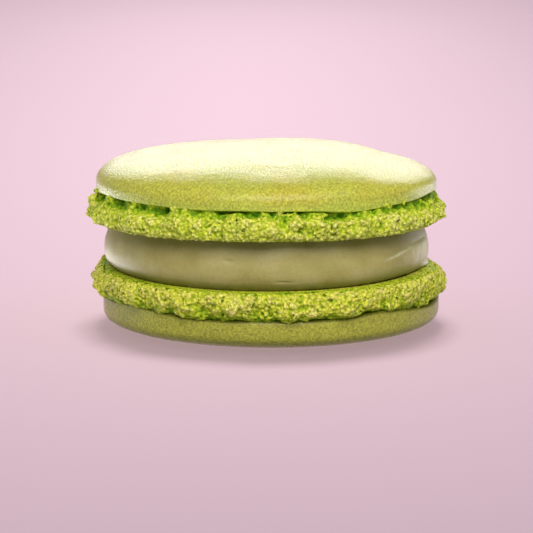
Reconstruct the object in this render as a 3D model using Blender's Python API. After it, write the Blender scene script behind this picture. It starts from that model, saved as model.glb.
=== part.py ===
"""A French macaron: two almond meringue shells, each a smooth domed cap over a ruffled foot, with a thick layer
of soft filling between them. It rests on the small flat spot under the lower shell, at the origin. +Z is up,
and -Y is the front, where the shells stand a little further apart.
"""

import math

import bmesh
import bpy
from mathutils import Vector, noise

MM = 0.001

# Driving sizes. Heights are above the surface that the macaron stands on.
LEDGE_HEIGHT = 8.5 * MM  # flat side of the lower shell, under the filling
BASE_HEIGHT = 13.5 * MM  # flat side of the upper shell, over the filling
LEDGE_SLOPE = 0.026  # fall of the lower shell's flat side towards the front
BASE_SLOPE = 0.034  # rise of the upper shell's flat side towards the front
FILLING_GAP = 0.3 * MM  # clearance between the filling and each shell
FILLING_RADIUS = 20.9 * MM  # where it meets the shells
FILLING_BULGE = 0.65 * MM  # how far its side swells past that

UPPER = {
    "foot_radius": 23.8 * MM,  # the ruffled ring at its widest
    "foot_height": 4.7 * MM,  # from the flat side to the crevice under the cap
    "cap_radius": 22.5 * MM,
    "lip": 1.3 * MM,  # from the crevice to the cap's widest line
    "dome_height": 4.5 * MM,
    "dome_power": 0.45,  # lower is a fuller shoulder
    "lean": 0.09,  # how much less full the shoulder is on the +X side
    "flat_spot": 0.0,
    "centre_x": -0.1 * MM,
    "seed": 3.0,
}
LOWER = {
    "foot_radius": 23.4 * MM,
    "foot_height": 4.2 * MM,
    "cap_radius": 22.2 * MM,
    "lip": 1.5 * MM,
    "dome_height": 2.8 * MM,
    "dome_power": 0.42,
    "lean": 0.0,
    "flat_spot": 9.0 * MM,
    "centre_x": 0.5 * MM,
    "seed": 11.0,
}

# Shape of the foot, as shares of its height where no unit is given.
FOOT_BELLY = 0.38  # height of its widest line
FOOT_EDGE = 0.56  # width of the rounding under it
CREVICE_DEPTH = 0.9 * MM  # how far it tucks in under the cap
LIP_UNDERCUT = 75  # degrees of rounding under the cap's widest line

RUFFLE_DEPTH = 0.55 * MM  # how far the foot's lumps stand in and out
RUFFLE_LIFT = 0.3  # how far they stand up and down, as a share of that
RUFFLE_LENGTH = 3.2 * MM  # from one lump to the next
RUFFLE_DETAIL = 2.3  # how many times finer the small lumps are
RUFFLE_RING = 0.85  # the lumps keep outside this share of the foot's radius

SHELL_SEGMENTS = 104  # steps round each shell
FILLING_SEGMENTS = 72
EDGE_STEPS = 3  # steps in each quarter of a rounded edge
DOME_STEPS = 7
FLAT_RINGS = (0.0, 0.45, 0.8)  # rings across a flat side, as shares of its radius
SMOOTH_ANGLE = 40  # degrees


def arc(centre, radii, start, end, steps):
    """Points (r, z) along an elliptic arc from start to end, in degrees from the +r direction."""
    points = []
    for i in range(steps + 1):
        angle = math.radians(start + (end - start) * i / steps)
        points.append((centre[0] + radii[0] * math.cos(angle), centre[1] + radii[1] * math.sin(angle)))
    return points


def shell_profile(size):
    """Half section of a shell, from the middle of its flat side at z = 0 round to the top of its dome."""
    foot = size["foot_radius"]
    height = size["foot_height"]
    cap = size["cap_radius"]
    belly = FOOT_BELLY * height
    edge = FOOT_EDGE * height
    crevice = cap - CREVICE_DEPTH
    widest = height + size["lip"]
    points = [(share * foot, 0.0) for share in FLAT_RINGS]
    points += arc((foot - edge, belly), (edge, belly), -90, 0, EDGE_STEPS)
    points += arc((crevice, belly), (foot - crevice, height - belly), 0, 90, EDGE_STEPS)[1:]
    points += arc((crevice, widest), (CREVICE_DEPTH, size["lip"]), -LIP_UNDERCUT, 0, EDGE_STEPS)
    flat = size["flat_spot"]
    for i in range(1, DOME_STEPS + 1):
        angle = math.pi / 2 * i / DOME_STEPS
        rise = math.sin(angle) ** (2 * size["dome_power"])
        points.append((flat + (cap - flat) * math.cos(angle), widest + size["dome_height"] * rise))
    if flat > 0:
        points.append((0.0, points[-1][1]))
    return points


def turn(points, segments):
    """A bmesh of the half section points (r, z), turned once about the Z axis and closed at the axis."""
    shape = bmesh.new()
    verts = [shape.verts.new((r, 0.0, z)) for r, z in points]
    edges = [shape.edges.new(pair) for pair in zip(verts, verts[1:])]
    bmesh.ops.spin(
        shape,
        geom=verts + edges,
        cent=(0, 0, 0),
        axis=(0, 0, 1),
        angle=2 * math.pi,
        steps=segments,
        use_merge=True,
    )
    bmesh.ops.remove_doubles(shape, verts=shape.verts, dist=0.01 * MM)
    bmesh.ops.recalc_face_normals(shape, faces=shape.faces)
    return shape


def ruffle(shape, size):
    """Pushes the foot's side in and out in uneven lumps, and leaves the flat side and the cap smooth."""
    shift = Vector((0, 0, size["seed"]))
    for vert in shape.verts:
        across = math.hypot(vert.co.x, vert.co.y)
        rise = vert.co.z / size["foot_height"]
        if across < RUFFLE_RING * size["foot_radius"] or not 0 < rise < 1:
            continue
        strength = math.sqrt(math.sin(math.pi * rise))
        place = vert.co / RUFFLE_LENGTH
        lumps = noise.noise(place + shift) + 0.5 * noise.noise(RUFFLE_DETAIL * place - shift)
        outwards = Vector((vert.co.x, vert.co.y, 0)) / across
        vert.co += outwards * RUFFLE_DEPTH * strength * lumps
        vert.co.z += RUFFLE_LIFT * RUFFLE_DEPTH * strength * noise.noise(place + 2 * shift)


def lean_dome(shape, size):
    """Lowers the dome's shoulder on the +X side and fills it out on the other, as an uneven piping does."""
    widest = size["foot_height"] + size["lip"]
    for vert in shape.verts:
        part = (vert.co.z - widest) / size["dome_height"]
        if 0 < part < 1:
            power = 1 + size["lean"] / size["dome_power"] * vert.co.x / size["cap_radius"]
            vert.co.z = widest + size["dome_height"] * part**power


def slope_flat_side(shape, slope, size):
    """Moves the flat side towards the dome at the front and away from it at the back; the dome's top stays."""
    top = size["foot_height"] + size["lip"] + size["dome_height"]
    for vert in shape.verts:
        vert.co.z -= slope * vert.co.y * (1 - vert.co.z / top)


def matte(name, colour, roughness):
    """A material for a dry or creamy surface."""
    made = bpy.data.materials.new(name)
    made.use_nodes = True
    surface = made.node_tree.nodes["Principled BSDF"]
    surface.inputs["Base Color"].default_value = (*colour, 1)
    surface.inputs["Roughness"].default_value = roughness
    surface.inputs["Metallic"].default_value = 0.0
    return made


def add_object(name, shape, location, material, collection):
    """Links the bmesh to the collection as a smooth-shaded object at the location."""
    mesh = bpy.data.meshes.new(name)
    shape.to_mesh(mesh)
    shape.free()
    mesh.shade_smooth()
    mesh.set_sharp_from_angle(angle=math.radians(SMOOTH_ANGLE))
    mesh.materials.append(material)
    made = bpy.data.objects.new(name, mesh)
    made.location = location
    collection.objects.link(made)


def make_upper_shell(material, collection):
    shape = turn(shell_profile(UPPER), SHELL_SEGMENTS)
    ruffle(shape, UPPER)
    lean_dome(shape, UPPER)
    slope_flat_side(shape, BASE_SLOPE, UPPER)
    add_object("upper_shell", shape, (UPPER["centre_x"], 0, BASE_HEIGHT), material, collection)


def make_lower_shell(material, collection):
    """The same form turned dome down, with a flat spot where it stands."""
    shape = turn(shell_profile(LOWER), SHELL_SEGMENTS)
    ruffle(shape, LOWER)
    slope_flat_side(shape, LEDGE_SLOPE, LOWER)
    bmesh.ops.scale(shape, vec=(1, 1, -1), verts=shape.verts)
    bmesh.ops.recalc_face_normals(shape, faces=shape.faces)
    add_object("lower_shell", shape, (LOWER["centre_x"], 0, LEDGE_HEIGHT), material, collection)


def make_filling(material, collection):
    """A disc with a swollen side, whose two faces follow the slopes of the shells that hold it."""
    thickness = BASE_HEIGHT - LEDGE_HEIGHT - 2 * FILLING_GAP
    half = thickness / 2
    side = arc((FILLING_RADIUS, half), (FILLING_BULGE, half), -90, 90, 2 * EDGE_STEPS)
    under = [(share * FILLING_RADIUS, 0.0) for share in FLAT_RINGS]
    over = [(r, thickness) for r, z in reversed(under)]
    shape = turn(under + side + over, FILLING_SEGMENTS)
    for vert in shape.verts:
        share = vert.co.z / thickness
        vert.co.z += vert.co.y * (LEDGE_SLOPE * (1 - share) - BASE_SLOPE * share)
    add_object("filling", shape, (0, 0, LEDGE_HEIGHT + FILLING_GAP), material, collection)


def main():
    for leftover in list(bpy.data.objects):
        bpy.data.objects.remove(leftover)
    macaron = bpy.data.collections.new("macaron")
    bpy.context.scene.collection.children.link(macaron)
    meringue = matte("green_meringue", (0.52, 0.51, 0.09), 0.6)
    cream = matte("green_cream", (0.36, 0.31, 0.12), 0.45)
    make_lower_shell(meringue, macaron)
    make_filling(cream, macaron)
    make_upper_shell(meringue, macaron)


main()
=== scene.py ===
# French macaron: two green almond meringue shells with a khaki-green cream filling.
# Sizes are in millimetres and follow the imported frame, which is 24 mm high.
import math
from functools import partial

import bmesh
import bpy
import numpy as np
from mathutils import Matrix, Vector, noise


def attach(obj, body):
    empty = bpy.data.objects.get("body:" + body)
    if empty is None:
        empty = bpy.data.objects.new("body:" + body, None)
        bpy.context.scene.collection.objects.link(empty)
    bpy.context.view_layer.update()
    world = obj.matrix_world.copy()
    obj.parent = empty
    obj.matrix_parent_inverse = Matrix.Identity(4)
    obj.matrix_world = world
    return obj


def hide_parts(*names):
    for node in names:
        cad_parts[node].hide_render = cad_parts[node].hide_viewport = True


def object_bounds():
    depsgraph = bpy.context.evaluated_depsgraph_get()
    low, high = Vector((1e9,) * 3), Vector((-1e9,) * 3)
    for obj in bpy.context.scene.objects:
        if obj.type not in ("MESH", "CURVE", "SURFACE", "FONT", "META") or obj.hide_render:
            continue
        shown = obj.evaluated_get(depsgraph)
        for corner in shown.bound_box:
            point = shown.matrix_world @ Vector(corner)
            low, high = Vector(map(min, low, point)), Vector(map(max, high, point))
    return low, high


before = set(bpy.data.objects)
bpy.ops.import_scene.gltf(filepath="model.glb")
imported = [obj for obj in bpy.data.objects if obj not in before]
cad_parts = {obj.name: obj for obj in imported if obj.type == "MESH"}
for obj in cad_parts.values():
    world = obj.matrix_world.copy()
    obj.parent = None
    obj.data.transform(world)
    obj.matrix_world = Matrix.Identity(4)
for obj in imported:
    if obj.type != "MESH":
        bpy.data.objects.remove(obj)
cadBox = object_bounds()

frameHeight = 24.0  # height of the frame in the sizes below
mm = (cadBox[1].z - cadBox[0].z) / frameHeight

noiseSpan = (0.3, 0.7)  # nearly all of a noise texture's values lie between these


def linearColour(hexText):
    parts = [int(hexText[i : i + 2], 16) / 255 for i in (1, 3, 5)]
    return (*[c / 12.92 if c <= 0.04045 else ((c + 0.055) / 1.055) ** 2.4 for c in parts], 1.0)


def feed(node, inputs):
    # inputs: a socket's name or number, or a tuple of them -> its value, or another node's output
    for key, value in inputs.items():
        for socket, setting in zip(key, value) if isinstance(key, tuple) else [(key, value)]:
            if isinstance(setting, bpy.types.NodeSocket):
                node.id_data.links.new(setting, node.inputs[socket])
            else:
                node.inputs[socket].default_value = setting


def addNode(tree, kind, inputs={}, out=0, stops=(), curve=(), **settings):
    # kind is without "ShaderNode"; gives the node's output named out, or all of them
    # stops: (place, hex colour) along a colour ramp; curve: the points of a float curve
    node = tree.nodes.new(kind if "Node" in kind else "ShaderNode" + kind)
    for key, value in settings.items():
        setattr(node, key, value)
    while len(stops) > 2 and len(node.color_ramp.elements) < len(stops):
        node.color_ramp.elements.new(0.5)
    for i, (place, hexText) in enumerate(stops):
        node.color_ramp.elements[i].position = place
        node.color_ramp.elements[i].color = linearColour(hexText)
    if curve:
        points = node.mapping.curves[0].points
        while len(points) < len(curve):
            points.new(0.5, 0.5)
        for point, spot in zip(points, curve):
            point.location = spot
        node.mapping.update()
    feed(node, inputs)
    return node.outputs if out is None else node.outputs[out]


def startMaterial(name, settings):
    # settings: what is the same all over, on the shader's own sockets
    material = bpy.data.materials.new(name)
    material.use_nodes = True
    surface = material.node_tree.nodes["Principled BSDF"]
    feed(surface, settings)
    add = partial(addNode, material.node_tree)
    place = add("TexCoord", out="Object")
    place = add("VectorMath", {0: place, "Scale": 1 / mm}, operation="SCALE")
    return material, add, surface, place


def smoothStep(low, high, value):
    t = min(1.0, max(0.0, (value - low) / (high - low)))
    return t * t * (3 - 2 * t)


def bump(distance, width):
    # 1 in the middle, falling to 0 at about twice the width
    return math.exp(-((distance / width) ** 2))


ringRadius = 22.0  # of the ring round which the crevices and flat sides rise and fall


def liftAt(x, y, lifts):
    # a soft rise round some points of the ring: (angle, width in mm, rise)
    total = 0.0
    for angle, width, rise in lifts:
        turn = math.radians(angle)
        away = (x - ringRadius * math.cos(turn)) ** 2 + (y - ringRadius * math.sin(turn)) ** 2
        total = total + rise * np.exp(-away / width**2)
    return total


def waveAt(place, waves):
    # slow swells and finer ones together: (depth, length, start) in mm
    return sum(
        depth * noise.noise(place / length + Vector(start)) for depth, length, start in waves
    )


def angleFrom(angle, middle):
    # difference of two angles in degrees, from -180 to 180
    return (angle - middle + 180) % 360 - 180


def spinProfile(points, steps, unit=mm):
    # turns points (r, z) once about Z, and closes both poles
    shape = bmesh.new()
    verts = [shape.verts.new((r * unit, 0, z * unit)) for r, z in points]
    edges = [shape.edges.new(pair) for pair in zip(verts, verts[1:])]
    bmesh.ops.spin(
        shape,
        geom=verts + edges,
        cent=(0, 0, 0),
        axis=(0, 0, 1),
        angle=2 * math.pi,
        steps=steps,
        use_merge=True,
    )
    bmesh.ops.remove_doubles(shape, verts=shape.verts, dist=0.002 * unit)
    bmesh.ops.recalc_face_normals(shape, faces=shape.faces)
    return shape


def addObject(name, content):
    item = bpy.data.objects.new(name, content)
    bpy.context.scene.collection.objects.link(item)
    return item


def finishPiece(name, mesh, node, material):
    mesh.name = name
    mesh.shade_smooth()
    mesh.materials.clear()
    mesh.materials.append(material)
    piece = addObject(name, mesh)
    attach(piece, "root")
    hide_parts(node)
    print(f"{name}: {len(mesh.vertices)} vertices, {len(mesh.polygons)} faces")
    return piece


def meshOf(shape, name):
    mesh = bpy.data.meshes.new(name)
    shape.to_mesh(mesh)
    shape.free()
    return mesh


# where the layers meet, in mm above the surface it stands on
layers = {
    "ledge": 8.5,  # flat side of the lower shell
    "ledgeSlope": 0.026,  # its fall towards the front
    "base": 13.5,  # flat side of the upper shell
    "baseSlope": 0.04,  # its rise towards the front
    "upperCrevice": 18.2,  # where the upper foot tucks in under the cap
    "lowerCrevice": 4.4,
}

cameraSetup = {
    "elevation": 9.6,
    "distance": 400.0,
    "aimHeight": 7.7,
    "lens": 203.7,
    "sensor": 36.0,
}


def addCamera(setup):
    camera = addObject("camera", bpy.data.cameras.new("camera"))
    camera.data.sensor_width = setup["sensor"]
    camera.data.lens = setup["lens"]
    camera.data.clip_start = 0.01
    camera.data.clip_end = 20
    tilt = math.radians(setup["elevation"])
    back = Vector((0, -math.cos(tilt), math.sin(tilt)))
    camera.location = Vector((0, 0, setup["aimHeight"] * mm)) + back * setup["distance"] * mm
    camera.rotation_euler = back.to_track_quat("Z", "Y").to_euler()
    bpy.context.scene.camera = camera


# Each lamp: azimuth 0 is the camera's side and 90 the right-hand side; distances and sizes are in
# metres, bright is how bright its face is, and skip names the pieces that it doesn't light.
lampSetups = [
    {
        "name": "back_panel", "azimuth": 179, "elevation": 19, "distance": 0.8,
        "size": (0.58, 0.2), "bright": 5.9, "hex": "#FFFEFA",
    },
    {
        "name": "front_softbox", "azimuth": 8, "elevation": 45, "distance": 0.8,
        "size": (0.8, 0.5), "bright": 4.6, "hex": "#FFFDF8",
    },
    {
        "name": "left_strip", "azimuth": -131, "elevation": -20, "distance": 0.7,
        "size": (0.65, 0.28), "bright": 4.2, "hex": "#FFFFFF", "skip": ["lower_cap"],
    },
    {
        "name": "low_fill", "azimuth": 10, "elevation": -30, "distance": 0.8, "size": (0.9, 0.3),
        "bright": 0.85, "hex": "#FFFFFF", "skip": ["lower_cap", "cream_filling"],
    },
    {
        "name": "right_strip", "azimuth": 138, "elevation": -6, "distance": 0.8,
        "size": (0.35, 0.35), "bright": 2.7, "hex": "#FFFFFF", "skip": ["lower_cap"],
    },
    {
        "name": "left_edge", "azimuth": -104, "elevation": 2, "distance": 0.7,
        "size": (0.3, 0.25), "bright": 2.4, "hex": "#E9F7BC",
        "skip": ["upper_cap", "lower_foot", "cream_filling"],
    },
]
floorSun = {
    "elevation": 76,  # it stands behind the macaron
    "spread": 21,  # degrees across, which softens the shadow
    "strength": 1.85,
    "hex": "#FFF6FA",
}
floorPool = {
    "middle": (-0.006, 0.24),  # metres
    "height": 1.0,
    "radius": 0.5,
    "narrow": 0.24,  # width of the pool against its length
    "soft": 0.8,  # how much of it fades
    "size": 0.1,
    "watts": 39.0,
    "hex": "#FFF6FA",
}


def addLamp(name, kind, setup, lit, blockers):
    # a lamp that lights only some objects, and is only blocked by some
    light = bpy.data.lights.new(name, kind)
    light.color = linearColour(setup["hex"])[:3]
    lamp = addObject(name, light)
    for part, items in (("receiver", lit), ("blocker", blockers)):
        group = bpy.data.collections.new(f"{name}_{part}")
        for item in items:
            group.objects.link(item)
        setattr(lamp.light_linking, part + "_collection", group)
    return lamp, light


def addSoftbox(setup, lit, blockers):
    lamp, light = addLamp(setup["name"], "AREA", setup, lit, blockers)
    light.shape = "RECTANGLE"
    light.size, light.size_y = setup["size"]
    light.energy = math.pi * setup["bright"] * light.size * light.size_y
    turn, tilt = math.radians(setup["azimuth"]), math.radians(setup["elevation"])
    level = math.cos(tilt)
    away = Vector((math.sin(turn) * level, -math.cos(turn) * level, math.sin(tilt)))
    lamp.location = Vector((0, 0, frameHeight / 2 * mm)) + away * setup["distance"]
    lamp.rotation_euler = away.to_track_quat("Z", "Y").to_euler()
    lamp.visible_camera = False


def addFloorSun(setup, floor, blockers):
    # even light on the whole floor, and the macaron's soft shadow
    lamp, light = addLamp("floor_sun", "SUN", setup, [floor], blockers)
    light.angle = math.radians(setup["spread"])
    light.energy = setup["strength"]
    lamp.rotation_euler = (math.radians(setup["elevation"] - 90), 0, 0)


def addFloorPool(setup, floor):
    # a long pool of light on the floor that fades to its edges, and that the macaron doesn't shade
    lamp, light = addLamp("floor_pool", "SPOT", setup, [floor], [floor])
    light.spot_size = 2 * math.atan(setup["radius"] / setup["height"])
    light.spot_blend = setup["soft"]
    light.shadow_soft_size = setup["size"]
    light.energy = setup["watts"]
    lamp.location = (*setup["middle"], setup["height"])
    lamp.scale = (setup["narrow"], 1, 1)


stageSetup = {
    "floorHex": "#C5AFB8",
    "worldHex": "#FFFFFF",
    "worldStrength": 0.26,
    "floorRadius": 1.6,  # metres
    "wallRadius": 2.4,
    "wallHeight": 1.6,
    "bendSteps": 12,
    "turnSteps": 96,
    "glowSpan": (240.0, 960.0),  # mm from the middle; the far parts are lit evenly
    "glow": 0.35,
}


def addStage(setup):
    # a round floor that turns up into a wall, so every view has the same plain background
    flat, wall, high = setup["floorRadius"], setup["wallRadius"], setup["wallHeight"]
    bend = wall - flat
    points = [(0, 0), (0.5 * flat, 0), (flat, 0)]
    for i in range(1, setup["bendSteps"] + 1):
        angle = math.pi / 2 * i / setup["bendSteps"]
        points.append((flat + bend * math.sin(angle), bend * (1 - math.cos(angle))))
    points.append((wall, high))
    mesh = meshOf(spinProfile(points, setup["turnSteps"], unit=1), "floor")
    mesh.shade_smooth()
    colour = linearColour(setup["floorHex"])
    # matt card, which shows next to no reflection
    paper = {("Base Color", "Emission Color"): (colour, colour)}
    paper.update({"Roughness": 0.9, "Specular IOR Level": 0.1})
    material, add, surface, place = startMaterial("paper_backdrop", paper)
    away = add("VectorMath", {0: place}, operation="LENGTH", out="Value")
    far = {"Value": away, (1, 2): setup["glowSpan"], (3, 4): (0.0, setup["glow"])}
    glow = add("MapRange", far, interpolation_type="SMOOTHSTEP")
    feed(surface, {"Emission Strength": glow})
    material.cycles.emission_sampling = "NONE"
    mesh.materials.append(material)
    floor = addObject("floor", mesh)
    floor.visible_diffuse = False  # keeps the pink off the macaron
    world = bpy.data.worlds.new("studio")
    bpy.context.scene.world = world
    world.use_nodes = True
    background = world.node_tree.nodes["Background"]
    background.inputs["Color"].default_value = linearColour(setup["worldHex"])
    background.inputs["Strength"].default_value = setup["worldStrength"]
    return floor


upperCap = {
    "radius": 22.5,
    "widest": 19.4,  # height of the widest line
    "top": 24.0,
    "shoulder": 2.3,  # higher is a fuller shoulder
    "spread": 2.03,
    "lean": 0.2,  # how much less full the shoulder is on the right
    "leanDepth": (-19, -6),  # y, from the front edge to where the lean is full
    "lip": 18.35,  # height of the lip's lower edge
    "lipRound": 0.16,
    "lipInset": 0.05,  # how much narrower the lip is than the widest line
    "lipSteps": 9,
    "undercut": 21.2,  # radius where the lip's underside meets the foot
    "underside": 18.05,
    "undersideRings": (0, 8, 16, 20),
    "swells": [(-18, 5, 0.1), (10, 5, 0.2), (16.5, 3.2, -0.3)],  # middle x, width, rise
    # angle, width and rise of the lip
    "sags": [(184, 9, -0.5), (215, 20, 0.12), (302, 13, -0.42), (345, 12, 0.2)],
    "sagWave": 0.12,
    "sagReach": 0.6,  # how far above the widest line the lip's sagging dies out
    "topReach": 0.6,
    "waves": [(0.16, 9.0, (4, 0, 0)), (0.05, 3.1, (0, 0, 0))],
    "dimple": {"x": -6.0, "y": -5.2, "wide": 4.2, "deep": 3.0, "sink": 0.13},
    "wrinkle": {
        "height": 22.5,
        "band": 0.75,
        "fade": (4, -12),  # y, from none to full
        "length": 2.6,
        "gap": 0.28,
        "rise": 0.035,
    },
    "steps": 360,
    "rings": 74,
}


def capProfile(size):
    # from the middle of the underside, out under the lip, and up over the dome to the axis
    radius, widest, top = size["radius"], size["widest"], size["top"]
    lipRadius, curl = radius - size["lipInset"], size["lipRound"]
    points = [(ring, size["underside"]) for ring in (*size["undersideRings"], size["undercut"])]
    # the lip's rounded lower edge, from just past straight down
    middleZ = size["lip"] + curl
    for i in range(size["lipSteps"] + 1):
        angle = math.radians(-100 + 100 * i / size["lipSteps"])
        points.append((lipRadius - curl + curl * math.cos(angle), middleZ + curl * math.sin(angle)))
    for i in range(1, 5):
        share = i / 5
        across = lipRadius + (radius - lipRadius) * math.sin(share * math.pi / 2)
        points.append((across, middleZ + (widest - middleZ) * share))
    for i in range(size["rings"] + 1):
        angle = math.pi / 2 * i / size["rings"]
        across = math.cos(angle) ** (2 / size["spread"])
        rise = math.sin(angle) ** (2 / size["shoulder"])
        points.append((radius * across, widest + (top - widest) * rise))
    points[-1] = (0, top)
    return points


def relieveUpperCap(shape, size):
    # uneven piping: a leaning dome, a wavy lip, a shallow dimple and fine wrinkles on the shoulder
    widest, high = size["widest"], size["top"] - size["widest"]
    dimple, wrinkle = size["dimple"], size["wrinkle"]
    for vert in shape.verts:
        x, y, z = vert.co / mm
        across = math.hypot(x, y)
        if across < 1e-6:
            continue
        turn = math.degrees(math.atan2(y, x))
        outward = Vector((x / across, y / across, 0))
        part = (z - widest) / high
        if 0 < part < 1:
            rightward = max(0.0, x / size["radius"])
            power = 1 + size["lean"] * rightward * smoothStep(*size["leanDepth"], y)
            z = widest + high * part**power
            for middle, width, lift in size["swells"]:
                z += lift * bump(x - middle, width) * smoothStep(0, 0.8, part)
        nearLip = 1 - smoothStep(size["lip"], widest + size["sagReach"], z)
        sag = sum(drop * bump(angleFrom(turn, at), width) for at, width, drop in size["sags"])
        sag += size["sagWave"] * noise.noise(Vector((3 * outward.x, 3 * outward.y, 4.2)))
        z += sag * nearLip
        upward = smoothStep(widest, size["top"] - size["topReach"], z)
        swell = waveAt(Vector((x, y, z)), size["waves"])
        sink = dimple["sink"] * bump(x - dimple["x"], dimple["wide"])
        swell -= sink * bump(y - dimple["y"], dimple["deep"]) * upward
        along = math.radians(turn) * size["radius"]
        shoulder = bump(z - wrinkle["height"], wrinkle["band"]) * smoothStep(*wrinkle["fade"], y)
        spot = Vector((along / wrinkle["length"], z / wrinkle["gap"], 0.7 * across))
        swell += wrinkle["rise"] * shoulder * max(0.0, noise.noise(spot))
        normal = (outward * (1 - upward) + Vector((0, 0, 1)) * upward).normalized()
        vert.co = (Vector((x, y, z)) + normal * swell) * mm


capLook = {
    # greenish to slightly toasted
    "tones": [(0.3, "#C5C84E"), (0.5, "#CAC84C"), (0.7, "#CDC044")],
    "patchSize": 7.0,  # mm
    "lipHex": "#C6D450",
    "lipHeights": (18.4, 19.8),  # mm, from full to none
    "lipShare": 0.75,
    "underHex": "#B4AF41",
    "underHeights": (6.0, 10.0),
    "underShare": 0.9,
    "grainSize": 0.3,
    "grainTones": (0.64, 1.32),
    "grainDepth": 0.1,
    "pitGap": 1.6,
    "pitEdge": (0.03, 0.09),  # as shares of the gap
    "pitTone": 0.55,
    "pitDepth": 0.06,
    # painted shade along the seam under the foot
    "seamShadeTone": 0.45,
    "roughness": (0.27, 0.2),
    "surface": {
        "IOR": 1.45,
        "Subsurface Weight": 0.2,
        "Subsurface Radius": (1.0, 0.9, 0.3),
        "Subsurface Scale": 0.5 * mm,
    },
}


def bakedMeringueSkin(look):
    # Macaron shell skin: ground almond and sugar dried before baking. It gives the eye a satin
    # eggshell surface with a very fine grain, slightly yellower where the oven caught it.
    material, add, surface, place = startMaterial("baked_meringue_skin", look["surface"])
    patches = add("TexNoise", {"Vector": place, "Scale": 1 / look["patchSize"], "Detail": 3.0})
    tone = add("ValToRGB", {"Fac": patches}, stops=look["tones"])
    # greener near the lip, and darker and browner low down on the lower shell
    height = add("SeparateXYZ", {0: place}, out=2)
    for part in ("lip", "under"):
        share = (look[part + "Share"], 0.0)
        fade = add("MapRange", {"Value": height, (1, 2): look[part + "Heights"], (3, 4): share})
        mixed = {0: fade, 6: tone, 7: linearColour(look[part + "Hex"])}
        tone = add("Mix", mixed, data_type="RGBA", out=2)
    grain = {"Vector": place, "Scale": 1 / look["grainSize"], "Detail": 2.0, "Roughness": 0.6}
    grain = add("TexNoise", grain)
    grainTone = add("MapRange", {"Value": grain, (1, 2): noiseSpan, (3, 4): look["grainTones"]})
    pits = {"Vector": place, "Scale": 1 / look["pitGap"], "Randomness": 1.0}
    pits = add("TexVoronoi", pits, out="Distance")
    pit = add("MapRange", {"Value": pits, (1, 2): look["pitEdge"], (3, 4): (look["pitTone"], 1.0)})
    # painted shade along the seam under the foot
    seamShade = add("Attribute", attribute_name="seamShade", out="Fac")
    seamShadeTone = add("MapRange", {"Value": seamShade, (3, 4): (1.0, look["seamShadeTone"])})
    for share in (grainTone, pit, seamShadeTone):
        tone = add("VectorMath", {0: tone, "Scale": share}, operation="SCALE")
    shine = add("MapRange", {"Value": grain, (1, 2): noiseSpan, (3, 4): look["roughness"]})
    relief = add("Bump", {"Height": grain, "Strength": 1.0, "Distance": look["grainDepth"] * mm})
    relief = {"Height": pit, "Strength": 0.5, "Distance": look["pitDepth"] * mm, "Normal": relief}
    relief = add("Bump", relief)
    feed(surface, {"Base Color": tone, "Roughness": shine, "Normal": relief})
    return material


lowerCap = {
    "radius": 22.25,
    "widest": 2.9,
    "edge": 4.35,  # height of its upper edge, by the crevice
    "edgeRound": 0.5,
    "edgeSteps": 9,
    "edgeRings": (20.5, 16, 8, 0),
    "flat": 9.2,  # radius of the flat spot that it stands on
    "spread": 2.76,
    "shoulder": 3.32,
    "centreX": 0.65,
    # the seam's shade is painted
    "seamShadeBand": (0.45, 0.12),  # how far under its edge the dark seam starts, and is full
    "sideHeight": 1.2,  # its waves are full from here up
    "sideRadii": (12, 21),
    "waves": [(0.22, 10.0, (0, 7, 0)), (0.05, 3.3, (0, 0, 0))],
    "liftHeights": (2.2, 4.2),
    "liftWave": 0.14,
    "steps": 320,
    "rings": 40,
}


def lowerCapProfile(size):
    # from the middle of the flat spot, out and up round the dome, and in over the upper edge
    radius, flat, edge = size["radius"], size["flat"], size["edge"]
    points = [(0, 0), (0.5 * flat, 0)]
    for i in range(size["rings"], -1, -1):
        angle = math.pi / 2 * i / size["rings"]
        across = math.cos(angle) ** (2 / size["spread"])
        rise = math.sin(angle) ** (2 / size["shoulder"])
        points.append((flat + (radius - flat) * across, size["widest"] * (1 - rise)))
    soft = size["edgeRound"]
    for i in range(1, size["edgeSteps"] + 1):
        angle = math.radians(90 * i / size["edgeSteps"])
        across, rise = soft * math.cos(angle), soft * math.sin(angle)
        points.append((radius - soft + across, edge - soft + rise))
    points += [(ring, edge) for ring in size["edgeRings"]]
    return points


def relieveLowerCap(shape, size, creviceLifts):
    # uneven piping again, and an upper edge that follows the foot's crevice
    # painted shade along its upper edge, under the foot
    seamShade = shape.verts.layers.float.new("seamShade")
    seamStart, seamFull = size["seamShadeBand"]
    for vert in shape.verts:
        x, y, z = vert.co / mm
        vert[seamShade] = smoothStep(size["edge"] - seamStart, size["edge"] - seamFull, z)
        across = math.hypot(x, y)
        if across < 1e-6:
            continue
        place = Vector((x, y, z))
        outward = Vector((x / across, y / across, 0))
        side = smoothStep(0.0, size["sideHeight"], z) * smoothStep(*size["sideRadii"], across)
        swell = waveAt(place, size["waves"])
        lift = size["liftWave"] * noise.noise(Vector((2.5 * outward.x, 2.5 * outward.y, 1.7)))
        lift = (lift + liftAt(x, y, creviceLifts)) * smoothStep(*size["liftHeights"], z)
        moved = place + outward * swell * side + Vector((size["centreX"], 0, lift))
        vert.co = moved * mm


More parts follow.
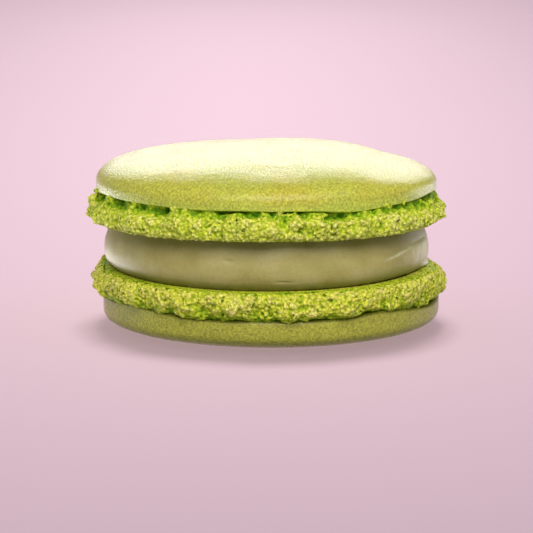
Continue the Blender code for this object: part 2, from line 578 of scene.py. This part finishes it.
upperFoot = {
    "flat": layers["base"],
    "slope": layers["baseSlope"],
    "way": 1,  # the crevice is above the flat side
    "height": layers["upperCrevice"] - layers["base"],
    # radius against share of its height, from the flat side to the crevice
    "outline": [
        (0, 22.8), (0.12, 23.3), (0.25, 23.55), (0.42, 23.5), (0.6, 23.2), (0.76, 22.7),
        (0.88, 22.2), (1.0, 21.8),
    ],
    "centreX": 0.1,
    "shift": (0, 0, 0),
    "rise": 0.16,  # how steeply its flat side lifts outside the filling
    "wild": 1.5,  # how much lumpier it is by the crevice
    "crevice": [],  # angle, width and rise of the crevice
    # where its flat side lifts more steeply
    "edge": [(-8, 12, 0.32), (20, 12, 0.2), (-172, 9, 0.3)],
    # torn places: angle, height, width, thickness, and how far they stand out
    "torn": [
        (-80, 17.1, 1.5, 0.85, 0.75), (-85, 17.2, 0.5, 0.8, -1.7), (-77, 17.9, 0.7, 0.5, -1.5),
        (-69, 17.3, 1.4, 0.24, -1.6), (-64, 17.8, 0.45, 0.7, -1.4), (-56, 17.1, 2.2, 1.0, 0.6),
        (-113, 17.7, 0.8, 0.5, -1.5), (-104.5, 17.9, 0.9, 0.5, -1.4),
        (-122, 16.9, 1.6, 0.9, 0.5), (-130, 17.7, 2.0, 0.5, -1.2), (-141, 16.8, 1.6, 1.2, 0.6),
        (-148, 17.6, 1.6, 0.5, -1.2), (-160, 16.7, 1.6, 1.1, 0.3), (180, 18.1, 3.6, 0.6, -0.6),
        (-38, 17.0, 2.0, 1.0, 0.4), (-33, 17.7, 2.2, 0.5, -1.1), (-47, 17.8, 1.2, 0.5, -1.1),
        (-95, 17.9, 1.0, 0.4, -1.1),
    ],
}
lowerFoot = {
    "flat": layers["ledge"],
    "slope": layers["ledgeSlope"],
    "way": -1,
    "height": layers["ledge"] - layers["lowerCrevice"],
    "outline": [
        (0, 22.3), (0.1, 22.75), (0.25, 23.0), (0.45, 23.1), (0.65, 23.05), (0.85, 22.7),
        (1.0, 22.0),
    ],
    "centreX": 0.33,
    "shift": (31, 17, 5),
    "rise": 0.03,
    "wild": 1.15,
    "crevice": [(-140, 7, 0.6), (180, 8, 0.35), (-52, 4, 0.5), (-20, 4.5, -0.45)],
    "edge": [(6, 8, 0.3), (22, 11, 0.45), (175, 9, 0.1)],
    "torn": [
        (-79, 6.2, 0.8, 0.28, -1.2), (-50.5, 6.1, 0.7, 0.6, -1.3), (-101, 6.0, 1.6, 1.0, 0.6),
        (-94, 5.6, 1.3, 0.7, -0.7), (-68, 5.8, 2.0, 1.0, 0.5), (-122, 5.9, 1.5, 0.9, 0.4),
        (-112, 5.4, 0.9, 0.5, -0.8), (180, 5.0, 1.8, 0.6, -0.6), (2, 4.4, 1.8, 0.6, 0.5),
    ],
}
crumb = {
    "innerRadius": 20.3,
    "contact": 20.9,  # radius inside which the flat side touches the filling
    "tuck": 0.45,  # how far it runs on under the cap
    "outlineSpan": (20, 5),  # the least radius that an outline may hold, and what it may add
    "tornRadius": 23.4,
    "calm": 0.45,  # how lumpy it is by the filling, against wild by the crevice
    "wildShares": (0.0, 0.9),
    "ragged": 0.35,
    "edgeRound": 0.3,
    "skinStart": 1.6,  # higher leaves the flat side smooth further out
    "lumpSize": 3.6,
    "lumpDepth": 1.5,
    "clumpSize": 1.5,
    "clumpDepth": 0.8,
    "drift": 0.6,  # how far the grains are pulled out of line
    "grainSize": 0.52,
    "grainDepth": 0.26,
    "poreSize": 0.85,  # from one pore to the next
    "poreRadius": (-0.08, 0.28),
    "poreReach": 0.55,  # how deep a pore may go
    # a fine broken crack runs round the flat side, about this far outside the filling
    "crackStart": 1.7,
    "crackWander": 1.2,
    "crackWidth": 0.1,
    "crackDepth": 0.35,
    "reach": 25.0,  # half the width of the block that it is cut from
    "margin": 0.6,
    "voxel": 0.115,
    "quickVoxel": 0.2,
    "triangles": 195000,
}


def growCrumb(name, size, look):
    # The foot is a sponge: a ring whose depth under its skin is cut by lumps, froth and pores.
    tree = bpy.data.node_groups.new(name + "_crumb", "GeometryNodeTree")
    tree.interface.new_socket("Geometry", in_out="OUTPUT", socket_type="NodeSocketGeometry")
    add = partial(addNode, tree)
    place = add("GeometryNodeInputPosition")
    shift = {0: place, 1: (1 / mm,) * 3, 2: (-size["centreX"], 0, 0)}
    local = add("VectorMath", shift, operation="MULTIPLY_ADD")
    parts = add("SeparateXYZ", {0: local}, out=None)
    level = add("CombineXYZ", {0: parts[0], 1: parts[1]})
    radius = add("VectorMath", {0: level}, operation="LENGTH", out="Value")
    value = {"y": parts[1], "z": parts[2], "radius": radius}

    # soft rises round some points of the ring: of the crevice, the flat side's edge, torn places
    blobs = [
        ("crevice", ringRadius, angle, 0, width, 0, size["way"] * rise)
        for angle, width, rise in size["crevice"]
    ]
    blobs += [("edge", ringRadius, angle, 0, width, 0, rise) for angle, width, rise in size["edge"]]
    blobs += [
        ("torn", look["tornRadius"], angle, high, width, 1 / thick, lift)
        for angle, high, width, thick, lift in size["torn"]
    ]
    for part, ring, angle, high, width, narrow, lift in blobs:
        turn = math.radians(angle)
        away = {0: local, 1: (ring * math.cos(turn), ring * math.sin(turn), high)}
        away = add("VectorMath", away, operation="SUBTRACT")
        away = add("VectorMath", {0: away, 1: (1 / width, 1 / width, narrow)}, operation="MULTIPLY")
        square = add("VectorMath", {0: away, 1: away}, operation="DOT_PRODUCT", out="Value")
        near = add("Math", {0: math.exp(-1), 1: square}, operation="POWER")
        total = {0: near, 1: lift, 2: value.get(part, 0.0)}
        value[part] = add("Math", total, operation="MULTIPLY_ADD")
    value.setdefault("crevice", 0.0)

    # how far a point is from the flat side towards the crevice, in mm and as a share; each step
    # is the name of its result, the operation, and names of values or plain numbers
    steps = [
        ("flatZ", "MULTIPLY_ADD", "y", -size["way"] * size["slope"], size["flat"]),
        ("above", "SUBTRACT", "z", "flatZ"),
        ("above", "MULTIPLY", "above", size["way"]),
        ("height", "MULTIPLY_ADD", "y", size["slope"], size["height"]),
        ("height", "ADD", "height", "crevice"),
        ("share", "DIVIDE", "above", "height"),
    ]
    for result, operation, *terms in steps:
        inputs = {i: value.get(term, term) for i, term in enumerate(terms)}
        value[result] = add("Math", inputs, operation=operation)

    # the outline: radius against height, squeezed into the 0 to 1 of a curve
    least, span = look["outlineSpan"]
    outline = [(high, (wide - least) / span) for high, wide in size["outline"]]
    value["outline"] = add("FloatCurve", {"Value": value["share"]}, curve=outline)

    seeded = add("VectorMath", {0: local, 1: size["shift"]}, operation="ADD")
    lumps = {"Vector": seeded, "Scale": 1 / look["lumpSize"], "Detail": 1.0}
    value["lumps"] = add("TexNoise", lumps)
    clumps = {"Vector": seeded, "Scale": 1 / look["clumpSize"], "Detail": 2.0}
    clumps = add("TexNoise", clumps, out=None)
    value["clumps"] = clumps[0]
    drift = {0: clumps[1], 1: (look["drift"],) * 3, 2: seeded}
    drift = add("VectorMath", drift, operation="MULTIPLY_ADD")
    grains = {"Vector": drift, "Scale": 1 / look["grainSize"]}
    value["grains"] = add("TexVoronoi", grains, out="Distance")
    pores = add("TexVoronoi", {"Vector": drift, "Scale": 1 / look["poreSize"]}, out=None)
    value["pores"] = pores["Distance"]
    value["chance"] = add("FunctionNodeSeparateColor", {0: pores["Color"]})
    wild = {"Value": value["share"], (1, 2): look["wildShares"], 3: look["calm"], 4: size["wild"]}
    value["wild"] = add("MapRange", wild)

    smallPore, largePore = look["poreRadius"]
    steps = [
        # how deep a point lies under the outline, made lumpy, more so towards the crevice
        ("outline", "MULTIPLY_ADD", "outline", span, least),
        ("depth", "SUBTRACT", "outline", "radius"),
        ("lumpy", "MULTIPLY_ADD", "lumps", 2 * look["lumpDepth"], -look["lumpDepth"]),
        ("clumpy", "MULTIPLY_ADD", "clumps", 2 * look["clumpDepth"], -look["clumpDepth"]),
        ("lumpy", "ADD", "lumpy", "clumpy"),
        ("depth", "MULTIPLY_ADD", "lumpy", "wild", "depth"),
        ("depth", "ADD", "depth", "torn"),
        # the flat side lifts outside the filling, and its edge is rounded and finely torn
        ("outside", "SUBTRACT", "radius", look["contact"]),
        ("outside", "MAXIMUM", "outside", 0),
        ("steep", "ADD", "edge", size["rise"]),
        ("lifted", "MULTIPLY", "outside", "steep"),
        ("lifted", "SUBTRACT", "above", "lifted"),
        ("ragged", "SUBTRACT", "clumps", 0.5),
        ("ragged", "MULTIPLY", "ragged", "outside"),
        ("lifted", "MULTIPLY_ADD", "ragged", look["ragged"], "lifted"),
        ("depth", "SMOOTH_MIN", "depth", "lifted", look["edgeRound"]),
        # froth: rounded grains with creases between them, from the filling's side outwards
        ("skin", "MULTIPLY_ADD", "lumps", -look["skinStart"], "outside"),
        ("skin", "MULTIPLY", "skin", look["skinStart"]),
        ("skin", "MAXIMUM", "skin", 0),
        ("skin", "MINIMUM", "skin", 1),
        ("grains", "MULTIPLY", "grains", "grains"),
        ("grains", "MULTIPLY_ADD", "grains", -2 * look["grainDepth"], 0.5 * look["grainDepth"]),
        ("depth", "MULTIPLY_ADD", "grains", "skin", "depth"),
        # open pores here and there
        ("poreRadius", "MULTIPLY_ADD", "chance", largePore - smallPore, smallPore),
        ("pore", "MULTIPLY", "pores", look["poreSize"]),
        ("pore", "SUBTRACT", "pore", "poreRadius"),
        ("reach", "SUBTRACT", "depth", look["poreReach"]),
        ("pore", "MAXIMUM", "pore", "reach"),
        ("closed", "SUBTRACT", 0.5, "skin"),
        ("pore", "MAXIMUM", "pore", "closed"),
        ("depth", "MINIMUM", "depth", "pore"),
        # a broken crack round the flat side
        ("crack", "MULTIPLY_ADD", "clumps", look["crackWander"], -look["crackStart"]),
        ("crack", "ADD", "crack", "outside"),
        ("crack", "ABSOLUTE", "crack"),
        ("crack", "SUBTRACT", "crack", look["crackWidth"]),
        ("gap", "MULTIPLY_ADD", "lumps", -6, 2.9),
        ("crack", "MAXIMUM", "crack", "gap"),
        ("reach", "SUBTRACT", "lifted", look["crackDepth"]),
        ("crack", "MAXIMUM", "crack", "reach"),
        ("depth", "MINIMUM", "depth", "crack"),
        # its flat side, its end inside the cap, and the hole in the middle
        ("depth", "MINIMUM", "depth", "above"),
        ("under", "SUBTRACT", "height", "above"),
        ("under", "ADD", "under", look["tuck"]),
        ("depth", "MINIMUM", "depth", "under"),
        ("inner", "SUBTRACT", "radius", look["innerRadius"]),
        ("depth", "MINIMUM", "depth", "inner"),
        ("density", "ADD", "depth", 0.5),
    ]
    for result, operation, *terms in steps:
        inputs = {i: value.get(term, term) for i, term in enumerate(terms)}
        value[result] = add("Math", inputs, operation=operation)

    voxel = look["voxel"]
    reach, margin = look["reach"], look["margin"]
    slopeRise = reach * size["slope"]
    ends = (size["flat"], size["flat"] + size["way"] * (size["height"] + margin))
    low = min(ends) - slopeRise - margin
    high = max(ends) + slopeRise + margin
    box = {
        "Density": value["density"],
        "Background": 0.0,
        "Min": ((size["centreX"] - reach) * mm, -reach * mm, low * mm),
        "Max": ((size["centreX"] + reach) * mm, reach * mm, high * mm),
        "Resolution X": round(2 * reach / voxel),
        "Resolution Y": round(2 * reach / voxel),
        "Resolution Z": round((high - low) / voxel),
    }
    volume = add("GeometryNodeVolumeCube", box)
    meshed = add("GeometryNodeVolumeToMesh", {"Volume": volume, "Threshold": 0.5})
    add("NodeGroupOutput", {0: meshed}, out=None)

    seed = addObject(name + "_seed", bpy.data.meshes.new(name + "_seed"))
    seed.modifiers.new("crumb", "NODES").node_group = tree
    mesh = appliedMesh(seed)
    faces = 2 * len(mesh.polygons)
    print(f"{name}: {faces} triangles before thinning")
    if faces > look["triangles"]:
        rough = addObject(name + "_rough", mesh)
        rough.modifiers.new("thin", "DECIMATE").ratio = look["triangles"] / faces
        mesh = appliedMesh(rough)
    keepLargestIsland(mesh)
    return mesh


def arrayOf(items, part, width, kind=float):
    values = np.empty(len(items) * width, dtype=kind)
    items.foreach_get(part, values)
    return values.reshape(-1, width)


def keepLargestIsland(mesh):
    # drops loose crumbs and closed bubbles
    count = len(mesh.vertices)
    first, second = arrayOf(mesh.edges, "vertices", 2, np.int64).T
    islands = np.arange(count)
    while True:
        low = islands.copy()
        np.minimum.at(low, first, islands[second])
        np.minimum.at(low, second, islands[first])
        low = low[low]
        if (low == islands).all():
            break
        islands = low
    largest = np.bincount(islands).argmax()
    shape = bmesh.new()
    shape.from_mesh(mesh)
    loose = [vert for vert, island in zip(shape.verts, islands) if island != largest]
    bmesh.ops.delete(shape, geom=loose, context="VERTS")
    print(f"{mesh.name}: dropped {len(loose)} of {count} vertices")
    shape.to_mesh(mesh)
    shape.free()


def appliedMesh(item):
    # the object's mesh with its modifiers applied; the object itself is removed
    graph = bpy.context.evaluated_depsgraph_get()
    mesh = bpy.data.meshes.new_from_object(item.evaluated_get(graph))
    bpy.data.objects.remove(item)
    return mesh


# painted shade of the foot's hollows, under the cap and next to the filling
hollowShadeTones = {
    # smoothing passes so far, the depth in mm that counts as full, and how much it darkens
    "passes": [(6, 0.09, 0.16), (60, 0.45, 0.3)],
    "plain": 0.69,
    "recess": {"from": 23.6, "depth": 2.2, "shade": 0.32},  # in under the cap
    "capEdge": {"from": 0.7, "depth": 0.2, "shade": 0.08},  # share of the foot's height
    "contact": {"from": 22.9, "depth": 1.2, "rise": 0.8, "shade": 0.45},  # by the filling
}


def paintHollowShade(mesh, size, look):
    # painted shade of the hollows: a tone that runs from 0 in a deep hollow to 1 on a crest, from
    # how far a point lies inside its surroundings
    count = len(mesh.vertices)
    places = arrayOf(mesh.vertices, "co", 3) / mm
    normals = arrayOf(mesh.vertex_normals, "vector", 3)
    first, second = arrayOf(mesh.edges, "vertices", 2, np.int64).T
    ends = np.concatenate([first, second])
    others = np.concatenate([second, first])
    neighbours = np.maximum(np.bincount(ends, minlength=count), 1)
    tone = look["plain"]
    smooth = places.copy()
    done = 0
    for passes, reach, weight in look["passes"]:
        while done < passes:
            total = [np.bincount(ends, smooth[others, axis], count) for axis in range(3)]
            total = np.stack(total, axis=1)
            smooth = 0.5 * smooth + 0.5 * total / neighbours[:, None]
            done += 1
        hollow = np.einsum("ij,ij->i", smooth - places, normals)
        tone = tone - weight * np.clip(hollow / reach, -1, 1)
    x, y, z = places.T
    x = x - size["centreX"]
    lift = size["way"] * liftAt(x, y, size["crevice"])
    above = size["way"] * (z - size["flat"]) + size["slope"] * y
    share = np.clip(above / (size["height"] + size["slope"] * y + lift), 0, 1)
    radius = np.hypot(x, y)
    # painted shade under the cap, and next to the filling
    recess, capEdge, contact = look["recess"], look["capEdge"], look["contact"]
    inward = np.clip((recess["from"] - radius) / recess["depth"], 0, 1)
    shade = recess["shade"] * inward * np.clip(share * 1.4 - 0.2, 0, 1)
    shade += capEdge["shade"] * np.clip((share - capEdge["from"]) / capEdge["depth"], 0, 1)
    inward = np.clip((contact["from"] - radius) / contact["depth"], 0, 1)
    shade += contact["shade"] * inward * np.clip(1 - above / contact["rise"], 0, 1)
    attribute = mesh.attributes.new("paintedShadeTone", "FLOAT", "POINT")
    attribute.data.foreach_set("value", np.clip(tone - shade, 0, 1).astype(np.float32))


crumbLook = {
    # from the deepest hollow to the tips, following the painted shade of the hollows
    "tones": [
        (0.1, "#5A900E"), (0.35, "#86AA10"), (0.55, "#BECE2C"), (0.75, "#DDDC4E"),
        (0.95, "#EDE680"),
    ],
    "mottleSize": 0.9,  # mm
    "creamHex": "#E4D880",
    "creamSize": 2.6,
    "creamEdge": (0.5, 0.68),
    "creamShare": 0.6,
    "creamTones": (0.5, 0.75),  # only on crests
    "wobbleSize": 0.5,
    "wobble": 0.3,
    "frothSize": 0.42,
    "frothEdge": (0.1, 0.85),  # share of a grain, from its middle to the crease
    # painted light and shade of the finest froth: pale grain middles, darker creases, dark pinholes
    "grainLightTint": (1.42, 1.4, 1.5),
    "creaseShadeTint": (0.5, 0.6, 0.3),
    "pinholeGap": 0.9,
    "pinholeEdge": (0.1, 0.22),
    "pinholeShadeTint": (0.36, 0.5, 0.2),
    "bakedTint": (1.04, 0.975, 1.03),  # the lower foot is a little yellower
    "bakedHeights": (9.0, 12.0),
    "fineSize": 0.22,
    "reliefDepth": 0.14,
    "roughness": (0.6, 0.8),
    "surface": {
        "IOR": 1.4,
        "Specular IOR Level": 0.3,
        "Subsurface Weight": 0.15,
        "Subsurface Radius": (0.9, 1.0, 0.25),
        "Subsurface Scale": 0.4 * mm,
    },
}


def meringueCrumb(look):
    # Macaron foot: the batter's open froth, set as it rose. Matt and spongy, pale cream on its
    # crests and a deeper green in its hollows, where the shade is painted into the colour.
    material, add, surface, place = startMaterial("meringue_crumb", look["surface"])
    # painted shade of the hollows, kept on the mesh
    tone = add("Attribute", attribute_name="paintedShadeTone", out="Fac")
    mottle = add("TexNoise", {"Vector": place, "Scale": 1 / look["mottleSize"], "Detail": 3.0})
    mottled = add("Math", {0: mottle, 1: 0.5, 2: tone}, operation="MULTIPLY_ADD")
    centred = add("Math", {0: mottled, 1: 0.25}, operation="SUBTRACT")
    colour = add("ValToRGB", {"Fac": centred}, stops=look["tones"])
    # creamier patches where the froth dried first
    patches = add("TexNoise", {"Vector": place, "Scale": 1 / look["creamSize"], "Detail": 2.0})
    patch = {"Value": patches, (1, 2): look["creamEdge"], (3, 4): (0.0, look["creamShare"])}
    patch = add("MapRange", patch)
    crest = add("MapRange", {"Value": tone, (1, 2): look["creamTones"]})
    patch = add("Math", {0: patch, 1: crest}, operation="MULTIPLY")
    creamy = {0: patch, 6: colour, 7: linearColour(look["creamHex"])}
    colour = add("Mix", creamy, data_type="RGBA", out=2)
    # the finest froth: painted light and shade on rounded grains, pale in their middles and
    # darker in the creases between them, and pinholes painted dark
    wobble = {"Vector": place, "Scale": 1 / look["wobbleSize"], "Detail": 2.0}
    wobble = add("TexNoise", wobble, out=1)
    pulled = {0: wobble, 1: (look["wobble"],) * 3, 2: place}
    pulled = add("VectorMath", pulled, operation="MULTIPLY_ADD")
    froth = add("TexVoronoi", {"Vector": pulled, "Scale": 1 / look["frothSize"]}, out="Distance")
    crease = add("MapRange", {"Value": froth, (1, 2): look["frothEdge"]})
    holes = add("TexVoronoi", {"Vector": pulled, "Scale": 1 / look["pinholeGap"]}, out="Distance")
    hole = add("MapRange", {"Value": holes, (1, 2): look["pinholeEdge"]})
    height = add("SeparateXYZ", {0: place}, out=2)
    lower = add("MapRange", {"Value": height, (1, 2): look["bakedHeights"], (3, 4): (1.0, 0.0)})
    plain = (1.0, 1.0, 1.0)
    for share, start, end in (
        (crease, look["grainLightTint"], look["creaseShadeTint"]),
        (hole, look["pinholeShadeTint"], plain),
        (lower, plain, look["bakedTint"]),
    ):
        tint = add("Mix", {"Factor": share, 4: start, 5: end}, data_type="VECTOR", out=1)
        colour = add("VectorMath", {0: colour, 1: tint}, operation="MULTIPLY")
    # relief: fine grit on the rounded grains, less the pinholes
    fine = {"Vector": place, "Scale": 1 / look["fineSize"], "Detail": 2.0, "Roughness": 0.6}
    fine = add("TexNoise", fine)
    high = add("Math", {0: fine, 1: 0.6}, operation="MULTIPLY")
    for part, weight in ((froth, -1.0), (hole, 0.8)):
        high = add("Math", {0: part, 1: weight, 2: high}, operation="MULTIPLY_ADD")
    relief = add("Bump", {"Height": high, "Strength": 1.0, "Distance": look["reliefDepth"] * mm})
    dryness = add("MapRange", {"Value": fine, (1, 2): noiseSpan, (3, 4): look["roughness"]})
    feed(surface, {"Base Color": colour, "Roughness": dryness, "Normal": relief})
    return material


filling = {
    # radius against share of the way up
    "profile": [
        (0, 20.2), (0.05, 20.65), (0.12, 21.05), (0.25, 21.4), (0.4, 21.5), (0.6, 21.4),
        (0.8, 21.1), (1, 20.6),
    ],
    "flatRings": (0, 8, 16, 19.6),
    "rings": 60,
    "crowding": 1.25,  # above 1 the rings crowd towards its foot
    "steps": 400,
    "overlap": 0.12,  # how far it presses into each shell
    "sideRadii": (19.4, 20.8),  # the relief below grows between these
    "waves": [(0.14, 8.0, (0, 0, 0)), (0.05, 2.4, (0, 0, 0))],
    "degree": 0.37,  # mm of its side in one degree
    # a smeared fold on the right: a sharp step out at its edge, with streaks running down from it
    "fold": {
        "angle": -34,
        "height": 11.85,
        "slope": 0.055,  # mm for each degree
        "curl": 0.0016,
        "wobble": 0.16,
        "fadeIn": (-14, -5),  # degrees from its angle
        "fadeOut": (16, 26),
        "edge": (0.16, -0.12),  # mm above its edge, from flush to full
        "run": (0.1, 2.8),  # and how far down it dies out
        "step": 0.3,
        "streak": 0.1,
        # width of the highlight painted along its edge
        "paintedRidgeHighlight": 0.13,
        "paleness": 0.15,
    },
    # a small dent and a short crack: angle, height, raggedness, width, thickness and depth
    "dents": [(-103, 11.9, 0.0, 0.5, 0.25, 0.2), (-84, 9.25, 0.1, 0.9, 0.08, 0.2)],
    # pressed out a little over the shell at the far right
    "smear": {"angle": -9, "height": 8.7, "width": 3.0, "thick": 0.45, "swell": 0.6},
}


def fillingProfile(size):
    # a smooth curve through the profile's points
    shares, radii = zip(*size["profile"])
    slopes = np.gradient(radii, shares)
    points = [(ring, 0.0) for ring in size["flatRings"]]
    for i in range(size["rings"] + 1):
        share = (i / size["rings"]) ** size["crowding"]
        k = min(max(int(np.searchsorted(shares, share)), 1), len(shares) - 1)
        wide = shares[k] - shares[k - 1]
        t = (share - shares[k - 1]) / wide
        radius = (
            (1 + 2 * t) * (1 - t) ** 2 * radii[k - 1]
            + t * (1 - t) ** 2 * wide * slopes[k - 1]
            + t * t * (3 - 2 * t) * radii[k]
            + t * t * (t - 1) * wide * slopes[k]
        )
        points.append((float(radius), share))
    points += [(ring, 1.0) for ring in reversed(size["flatRings"])]
    return points


def shapeFilling(shape, size):
    # the profile's height runs from 0 to 1, and is stretched here between the two sloping shells
    fold, smear, degree = size["fold"], size["smear"], size["degree"]
    shares = shape.verts.layers.float.new("share")
    smearAndHighlight = shape.verts.layers.float.new("smear")
    for vert in shape.verts:
        x, y, share = vert.co / mm
        vert[shares] = share
        across = math.hypot(x, y)
        low = layers["ledge"] + layers["ledgeSlope"] * y - size["overlap"]
        high = layers["base"] - layers["baseSlope"] * y + size["overlap"]
        z = low + (high - low) * share
        if across > 1e-6:
            outward = Vector((x / across, y / across, 0))
            turn = math.degrees(math.atan2(y, x))
            place = Vector((x, y, z))
            side = smoothStep(*size["sideRadii"], across)
            swell = waveAt(place, size["waves"])
            foldTurn = angleFrom(turn, fold["angle"])
            wobble = fold["wobble"] * noise.noise(Vector((foldTurn / 2.2, 2.0, 0)))
            foldZ = fold["height"] + fold["slope"] * foldTurn - fold["curl"] * foldTurn**2
            fall = z - (foldZ + wobble)
            streaks = noise.noise(Vector((foldTurn / 1.3 + 0.7 * fall, fall / 2.5, 7.0)))
            nearFold = smoothStep(*fold["fadeIn"], foldTurn)
            nearFold *= 1 - smoothStep(*fold["fadeOut"], foldTurn)
            step = smoothStep(*fold["edge"], fall) * (1 - smoothStep(*fold["run"], -fall))
            swell += nearFold * (fold["step"] * step + fold["streak"] * streaks * step)
            for angle, middle, ragged, width, thick, depth in size["dents"]:
                along = angleFrom(turn, angle) * degree
                rise = z - middle - ragged * noise.noise(place)
                swell -= depth * bump(along, width) * bump(rise, thick)
            along = angleFrom(turn, smear["angle"]) * degree
            pressed = bump(along, smear["width"]) * bump(z - smear["height"], smear["thick"])
            swell += smear["swell"] * pressed
            # pale streaks there and below the fold, and a highlight painted along the fold's edge
            paintedRidgeHighlight = nearFold * bump(fall, fold["paintedRidgeHighlight"]) * (0.75 + 0.5 * streaks)
            streaked = fold["paleness"] * nearFold * step * max(0.0, streaks + 0.3)
            vert[smearAndHighlight] = max(pressed, paintedRidgeHighlight, streaked)
            place += outward * swell * side
            x, y, z = place
        vert.co = Vector((x, y, z)) * mm


fillingLook = {
    "tones": [(0.3, "#B1A45C"), (0.5, "#BEB26E"), (0.72, "#C9BD80")],
    "cloudSize": 4.0,  # mm
    # painted shade: brightness against share of the way up, darker where it meets the shells
    "contact": [
        (0.0, 0.36), (0.06, 0.46), (0.14, 0.68), (0.26, 0.9), (0.45, 1.0), (0.65, 0.96),
        (0.8, 0.86), (1.0, 0.7),
    ],
    # pale colour of the smear, and of the highlight painted along the fold's edge
    "smearAndHighlightHex": "#E2DEC2",
    "fineSize": 0.35,
    "fineTones": (0.95, 1.05),
    "fineDepth": 0.04,
    "roughness": (0.38, 0.5),
    "surface": {
        "IOR": 1.46,
        "Subsurface Weight": 0.3,
        "Subsurface Radius": (1.2, 1.0, 0.5),
        "Subsurface Scale": 1.0 * mm,
    },
}


def nutGanache(look):
    # Pistachio ganache: white chocolate and nut paste, piped and set. It gives the eye a smooth,
    # faintly greasy surface with a soft sheen.
    material, add, surface, place = startMaterial("nut_ganache", look["surface"])
    clouds = add("TexNoise", {"Vector": place, "Scale": 1 / look["cloudSize"], "Detail": 4.0})
    tone = add("ValToRGB", {"Fac": clouds}, stops=look["tones"])
    share = add("Attribute", attribute_name="share", out="Fac")
    # painted shade where it meets the shells
    contact = add("FloatCurve", {"Value": share}, curve=look["contact"])
    tone = add("VectorMath", {0: tone, "Scale": contact}, operation="SCALE")
    # the pale smear, and the highlight painted along the fold's edge
    smear = add("Attribute", attribute_name="smear", out="Fac")
    pale = {0: smear, 6: tone, 7: linearColour(look["smearAndHighlightHex"])}
    tone = add("Mix", pale, data_type="RGBA", out=2)
    fine = add("TexNoise", {"Vector": place, "Scale": 1 / look["fineSize"], "Detail": 3.0})
    fineTone = add("MapRange", {"Value": fine, (1, 2): noiseSpan, (3, 4): look["fineTones"]})
    tone = add("VectorMath", {0: tone, "Scale": fineTone}, operation="SCALE")
    shine = add("MapRange", {"Value": clouds, (1, 2): noiseSpan, (3, 4): look["roughness"]})
    relief = add("Bump", {"Height": fine, "Strength": 0.3, "Distance": look["fineDepth"] * mm})
    feed(surface, {"Base Color": tone, "Roughness": shine, "Normal": relief})
    return material


addCamera(cameraSetup)
floor = addStage(stageSetup)
bpy.context.scene.view_settings.view_transform = "Standard"
print("camera and floor made")

skin = bakedMeringueSkin(capLook)
crumbMaterial = meringueCrumb(crumbLook)
cream = nutGanache(fillingLook)
pieces = []

shape = spinProfile(capProfile(upperCap), upperCap["steps"])
relieveUpperCap(shape, upperCap)
mesh = meshOf(shape, "upper_cap")
pieces.append(finishPiece("upper_cap", mesh, "upper_shell", skin))

shape = spinProfile(lowerCapProfile(lowerCap), lowerCap["steps"])
relieveLowerCap(shape, lowerCap, lowerFoot["crevice"])
mesh = meshOf(shape, "lower_cap")
pieces.append(finishPiece("lower_cap", mesh, "lower_shell", skin))

shape = spinProfile(fillingProfile(filling), filling["steps"])
shapeFilling(shape, filling)
mesh = meshOf(shape, "cream_filling")
pieces.append(finishPiece("cream_filling", mesh, "filling", cream))

feet = (("upper_foot", upperFoot, "upper_shell"), ("lower_foot", lowerFoot, "lower_shell"))
for name, size, node in feet:
    mesh = growCrumb(name, size, crumb)
    paintHollowShade(mesh, size, hollowShadeTones)
    pieces.append(finishPiece(name, mesh, node, crumbMaterial))

for setup in lampSetups:
    skipped = setup.get("skip", [])
    addSoftbox(setup, [piece for piece in pieces if piece.name not in skipped], pieces)
addFloorSun(floorSun, floor, pieces)
addFloorPool(floorPool, floor)
print("pieces and lights made")
